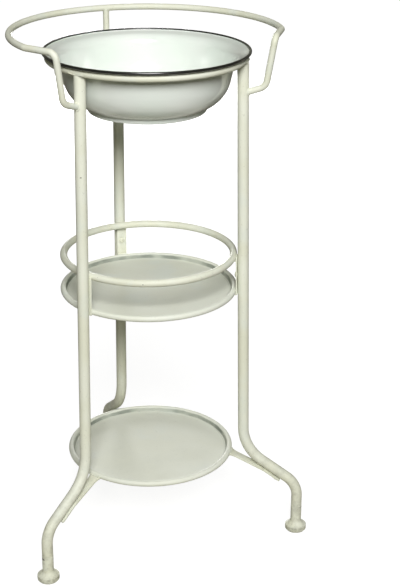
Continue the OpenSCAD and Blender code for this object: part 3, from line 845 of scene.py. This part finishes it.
def trayPaint(name, creaseRadius, height):
    t = trayShadingAndScuff
    made, shader, where = newMaterial(name)
    colour = paintColour(where, 7.0, 0.85)
    radius = axisRadius(where)
    # painted shade: a thin dark line at the step and against the rolled edge
    ragged = (where.noise(60.0, 3.0) - 0.5) * 0.0012
    step = 1 - abs(radius - creaseRadius * mm + ragged).band(0.0002, 0.0012)
    gutter = 1 - abs(radius - (creaseRadius + t["gutterOut"]) * mm + ragged).band(0.0004, 0.0018)
    # painted highlight: the upper side, floor and rolled edge, is made paler than the underside
    above = heightOf(where).band((height - t["under"]) * mm, (height - t["over"]) * mm)
    line = (step * t["crease"] + gutter * t["gutter"]) * (0.55 + where.noise(22.0, 2.0).band(0.35, 0.65) * 0.45)
    colour = line.tint((above * t["pale"]).tint(colour, paint["tray"]), paint["crease"])
    scuff = where.stretched((1, 1, 1), (0.7, 0.2, 0)).noise(3.4, 5.0, 0.62).band(0.54, 0.66)
    colour = (scuff * t["scuff"] * above).tint(colour, paint["crease"])
    rough = paint["rough"] + 0.06 + where.noise(26.0, 4.0) * 0.2
    relief = where.noise(560.0, 2.0) * 0.5 + where.noise(60.0, 2.0) * 1.6 - line * 0.6
    dress(shader, colour, rough, relief, paint["peel"], 0.0006)
    shader.inputs["Specular IOR Level"].default_value = paint["specular"]
    return made


castLook = {"wall": 0.1, "scuff": 0.36, "pit": 0.5, "brim": 1.5}


def castPaint(name):
    c = castLook
    made, shader, where = newMaterial(name)
    colour = paintColour(where, 22.0, 0.4)
    height = heightOf(where)
    # the pad's wall a little darker, with scuffs on it, and pits all over
    padTop = feet["padLow"] + feet["padWall"]
    wall = 1 - height.band((padTop - c["brim"]) * mm, (padTop + c["brim"]) * mm)
    scuff = wall * where.noise(120.0, 4.0, 0.6).band(0.4, 0.62)
    pit = (1 - where.cells(310.0).band(0.08, 0.26)) * where.noise(70.0, 2.0).band(0.5, 0.62)
    seam = seamDirt(where, height, 0.5, 0.64)
    # one longer chip on the outer side of the left front foot
    away = where.add("ShaderNodeVectorMath", {"operation": "DISTANCE"}, {0: where, 1: feet["chipAt"]}, out="Value")
    line = abs(height + (where.noise(260.0, 2.0) - 0.5) * 0.0022 - feet["chipAt"][2])
    longChip = (1 - away.band(0.0036, 0.0058)) * (1 - line.band(0.0008, 0.0016))
    colour = darkerNearFloor(where, height).tint(colour, paint["grime"])
    colour = (wall * c["wall"] + scuff * c["scuff"]).tint(colour, paint["grime"])
    colour = (pit * c["pit"]).tint(colour, paint["grime"])
    colour = (seam * darkening["seam"]).tint(colour, paint["chip"])
    colour = longChip.tint(colour, paint["chip"])
    rough = 0.5 + where.noise(60.0, 3.0) * 0.2
    relief = where.noise(210.0, 4.0) * 2.2 - pit * 1.6 - seam
    dress(shader, colour, rough, relief, 0.3, 0.0008)
    shader.inputs["Specular IOR Level"].default_value = paint["specular"]
    return made


def boltPaint(name):
    made, shader, where = newMaterial(name)
    colour = paintColour(where, 60.0, 0.3)
    worn = where.noise(420.0, 4.0, 0.6).band(0.58, 0.66)
    colour = (worn * 0.7).tint(colour, rgb(142, 138, 128))
    rough = 0.36 + where.noise(300.0, 2.0) * 0.2
    relief = where.noise(700.0, 2.0) - worn * 0.6
    dress(shader, colour, rough, relief, 0.2, 0.0003)
    link(shader, "Metallic", worn * 0.6)
    return made


def zincSteel(name):
    made, shader, where = newMaterial(name)
    spangle = where.cells(520.0, out="Color")
    grain = where.add("ShaderNodeSeparateColor", sockets={0: spangle})
    colour = grain.tint(rgb(176, 178, 176), rgb(206, 208, 204))
    dress(shader, colour, 0.3 + grain * 0.2, where.noise(900.0, 3.0), 0.15, 0.0002)
    shader.inputs["Metallic"].default_value = 1.0
    return made


def glidePlastic(name):
    made, shader, where = newMaterial(name)
    rub = where.stretched((1, 6, 1)).noise(220.0, 4.0, 0.6).band(0.5, 0.7)
    colour = (rub * 0.4).tint(rgb(214, 214, 204), rgb(138, 134, 120))
    dress(shader, colour, 0.46 + rub * 0.25, where.noise(800.0, 2.0) + rub * 0.5, 0.15, 0.0003)
    return made


enamel = {
    "white": rgb(232, 237, 231), "cool": rgb(226, 234, 226), "black": rgb(18, 18, 14), "speck": rgb(96, 98, 92),
    "blackFrom": 161.2, "blackUp": 0.2, "ragged": 0.3, "rough": 0.12, "underFrom": 160.2,
    "underLow": 2.6, "underHigh": 1.4, "softUp": 0.15, "softOut": 0.18,
}


def whiteEnamel(name):
    e = enamel
    made, shader, where = newMaterial(name)
    radius, height, rim = axisRadius(where), heightOf(where), basin["rimHeight"]
    # the rim is dipped black: its edge is a little ragged, and it comes further in underneath
    ragged = (where.noise(30.0, 3.0) - 0.5) * e["ragged"] * 2 * mm
    under = 1 - height.band((rim - e["underLow"]) * mm, (rim - e["underHigh"]) * mm)
    edge = radius + ragged + under * (e["blackFrom"] - e["underFrom"]) * mm
    topFrom = rim + e["blackUp"]
    top = (height + ragged).band((topFrom - e["softUp"]) * mm, (topFrom + e["softUp"]) * mm)
    outside = edge.band((e["blackFrom"] - e["softOut"]) * mm, (e["blackFrom"] + e["softOut"]) * mm)
    black = outside.calc("MAXIMUM", outside, top)
    tone = where.noise(9.0, 2.0).band(0.35, 0.65).tint(e["cool"], e["white"])
    specks = (1 - where.cells(95.0).band(0.02, 0.045)) * where.noise(17.0, 1.0).band(0.55, 0.6)
    tone = (specks * 0.55).tint(tone, e["speck"])
    rough = e["rough"] + where.noise(40.0, 3.0) * 0.05 + black * 0.14
    relief = where.noise(26.0, 2.0) * 3.0 + where.noise(210.0, 2.0) * 0.25
    dress(shader, black.tint(tone, e["black"]), rough, relief, 0.12, 0.0006)
    shader.inputs["Specular IOR Level"].default_value = 0.6
    shader.inputs["Coat Weight"].default_value = 0.5
    shader.inputs["Coat Roughness"].default_value = 0.06
    return made


def paintPiece(piece, material):
    piece.data.materials.clear()
    piece.data.materials.append(material)


def paintNode(name, material):
    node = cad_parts[name]
    if not node.material_slots:
        node.data.materials.append(material)
    for slot in node.material_slots:
        slot.material = material


rodPaint = creamPaint("cream paint on rod", 16.0, 0.5)
tubePaint = creamPaint("cream paint on tube", 11.0, 0.5, seamed=True)
strapPaint = creamPaint("cream paint on strap", 24.0, 0.4)
weldPaint = creamPaint("cream paint on welds", 40.0, 0.3, peel=1.6)
bolted = boltPaint("painted bolt")
zinc = zincSteel("zinc plated steel")
glide = glidePlastic("glide plastic")

paintPiece(makeBasin(), whiteEnamel("white enamel, black rim"))
print("basin done")

legSides = ((left, "front_left"), (right, "front_right"), (rear, "rear"))
leg = makeLeg()
foot = makeFoot()
strap = makeGalleryStrap()
lowStrap = makeLowStrap()
onFloor = Matrix.Translation(point(legs["footCircle"], 0))
for a, side in legSides:
    for piece, at, name, slot, node, material in (
            (leg, Matrix(), "leg_tube_", "cream_paint", "leg_", tubePaint),
            (foot, onFloor, "cast_foot_", "cast_paint", "foot_", castPaint("cast paint " + side)),
            (strap, Matrix(), "upright_strap_", "cream_paint", "gallery_strap_", strapPaint),
            (lowStrap, Matrix(), "low_tray_strap_", "cream_paint", "low_strap_", strapPaint)):
        other = copyOf(piece)
        place(other, atAngle(a) @ at)
        paintPiece(settle(other, name + side, "stand", slot, node + side), material)
print("legs, feet and straps done")

towelRail = makeTowelRail()
beads = makeWelds(leg, towelRail)
paintPiece(settle(beads, "weld_beads", "stand", "cream_paint", smooth=60), weldPaint)
paintPiece(settle(towelRail, "bent_towel_rail", "stand", "cream_paint", "towel_rail"), rodPaint)
post = makeRearPost()
place(post, atAngle(rear))
paintPiece(settle(post, "bent_rail_post", "stand", "cream_paint", "rail_rear_post"), rodPaint)
ring = makeRing(legs["ringRadius"], ringHeight, legs["rod"] / 2)
paintPiece(settle(ring, "basin_ring_rod", "stand", "cream_paint", "basin_ring"), rodPaint)
ring = makeRing(galleryRadius, rings["galleryHeight"], rings["galleryRod"])
paintPiece(settle(ring, "gallery_ring_rod", "stand", "cream_paint", "gallery_ring"), rodPaint)
print("rail, rings and welds done")

for name, node, radius, height in (("middle_tray_sheet", "middle_tray", middleRadius, trays["middleHeight"]),
                                   ("low_tray_sheet", "low_tray", trays["lowRadius"], trays["lowHeight"])):
    tray = settle(makeTray(radius, height), name, "stand", "tray_paint", node)
    paintPiece(tray, trayPaint("tray paint " + node, radius - trays["creaseIn"], height))
print("trays done")

bolt = makeBolt()
galleryFace = strapIn + bolts["faceGap"]
lowFace = legs["tube"] / 2 + lowStraps["clear"] + lowStraps["thick"] + 2 * bolts["faceGap"] + bolts["washer"]
inward = (onLeg(straps["boltHeight"]) @ Matrix.Rotation(-math.pi / 2, 4, "Y")
          @ Matrix.Translation(point(0, galleryFace)))
under = underRun @ Matrix.Translation(point(0, lowFace))
paintPiece(settle(placedThree(bolt, inward), "gallery_bolt_set", "stand", "bolt_paint", "gallery_bolts"), bolted)
paintPiece(settle(placedThree(bolt, under), "low_strap_bolt_set", "stand", "bolt_paint", "low_strap_bolts"), bolted)
for piece in (leg, foot, strap, lowStrap, bolt):
    bpy.data.objects.remove(piece)
paintNode("low_strap_washers", bolted)
for name in ("gallery_inserts", "low_strap_inserts"):
    paintNode(name, zinc)
for a, side in legSides:
    paintNode("glide_" + side, glide)
print("bolts done")


studio = {
    "keyAt": (-0.95, -3.6, 3.1), "keyAim": (0, -0.05, 0.3), "keySize": 1.85, "keyPower": 221,
    "topAt": (0.1, -0.3, 3.2), "topAim": (0, -0.05, 0.5), "topSize": 2.4, "topPower": 4,
    "backAt": (0.95, 3.3, 0.42), "backAim": (0, 0, 0.5), "backSize": 0.8, "backPower": 80,
    "world": 0.08, "dim": (1.0, 0.96, 0.74, 1.0), "seenShare": 0.06, "nearShare": 0.4,
    "nearBounce": (0.42, 0.40, 0.31, 1.0), "floorDark": (0.08, 0.076, 0.055, 1.0),
    "floorShade": (0.26, 0.26, 0.26, 1.0), "glowNear": 0.88, "glowFar": 1.0,
    "floorSize": 60, "glowBand": (0.5, 2.2), "nearBand": (0.6, 1.1),
}


def areaLight(name):
    at = Vector(studio[name + "At"])
    bpy.ops.object.light_add(type="AREA", location=at)
    lamp = bpy.context.object
    lamp.name = name
    lamp.rotation_euler = (Vector(studio[name + "Aim"]) - at).to_track_quat("-Z", "Y").to_euler()
    lamp.data.shape = "DISK"
    lamp.data.size = studio[name + "Size"]
    lamp.data.energy = studio[name + "Power"]


def rayKinds(start):
    # rays from the camera, and those that come by way of a reflection or through something
    seen, glossy, through = (start.add("ShaderNodeLightPath", out=name) for name in
                             ("Is Camera Ray", "Is Glossy Ray", "Is Transmission Ray"))
    return seen, glossy + through


def makeStudio():
    s = studio
    deselectAll()
    bpy.ops.mesh.primitive_plane_add(size=s["floorSize"], location=(0, 0, 0))
    floor = bpy.context.object
    floor.name = "floor"
    material = bpy.data.materials.new("pale floor")
    material.use_nodes = True
    tree = material.node_tree
    tree.nodes.clear()
    start = Wire(tree)
    direct, mirrored = rayKinds(start)
    # the floor catches the shadow; further off it glows into the backdrop
    away = lengthOf(start.add("ShaderNodeTexCoord", out="Object"))
    off = away.band(*s["glowBand"])
    # near the stand the floor sends back more bounced light and glows more in reflections: painted light from below
    close = 1 - away.band(*s["nearBand"])
    glowing = (direct * (s["glowNear"] + off * (s["glowFar"] - s["glowNear"]))
               + mirrored * (s["seenShare"] + close * (s["nearShare"] - s["seenShare"])))
    shadeTint = direct.tint(close.tint(s["floorDark"], s["nearBounce"]), s["floorShade"])
    shade = start.add("ShaderNodeBsdfDiffuse", sockets={"Color": shadeTint})
    glow = start.add("ShaderNodeEmission", sockets={"Color": (1, 1, 1, 1), "Strength": glowing})
    mixed = start.add("ShaderNodeAddShader", sockets={0: shade, 1: glow})
    output = tree.nodes.new("ShaderNodeOutputMaterial")
    tree.links.new(mixed.socket, output.inputs["Surface"])
    floor.data.materials.append(material)

    for name in ("key", "top", "back"):
        areaLight(name)

    world = bpy.data.worlds.new("studio")
    bpy.context.scene.world = world
    world.use_nodes = True
    tree = world.node_tree
    back = tree.nodes["Background"]
    direct, mirrored = rayKinds(Wire(tree))
    # reflections show the pale background too, but less of it, as the real set is dim outside the light
    seen = direct + mirrored * s["seenShare"]
    tree.links.new((s["world"] + seen * (1 - s["world"])).socket, back.inputs["Strength"])
    tree.links.new(seen.tint(s["dim"], (1, 1, 1, 1)).socket, back.inputs["Color"])


camera = {"at": (-0.68307, -2.07353, 1.30748), "yaw": 0.3669, "pitch": 0.3892, "roll": 0.0057,
          "focalPixels": 1363.18, "longSidePixels": 586, "sensor": 36}


def makeCamera():
    c = camera
    bpy.ops.object.camera_add()
    cam = bpy.context.object
    cam.name = "camera"
    flat = math.cos(c["pitch"])
    ahead = Vector((math.sin(c["yaw"]) * flat, math.cos(c["yaw"]) * flat, -math.sin(c["pitch"])))
    side = Vector((math.cos(c["yaw"]), -math.sin(c["yaw"]), 0))
    up = side.cross(ahead)
    sideways = math.cos(c["roll"]) * side + math.sin(c["roll"]) * up
    upright = -math.sin(c["roll"]) * side + math.cos(c["roll"]) * up
    turn = Matrix((sideways, upright, -ahead)).transposed().to_4x4()
    cam.matrix_world = Matrix.Translation(c["at"]) @ turn
    cam.data.sensor_fit = "AUTO"
    cam.data.sensor_width = c["sensor"]
    cam.data.lens = c["focalPixels"] / c["longSidePixels"] * c["sensor"]
    cam.data.clip_end = 100
    bpy.context.scene.camera = cam


makeStudio()
makeCamera()
bpy.context.scene.view_settings.view_transform = "Standard"
print("studio done")
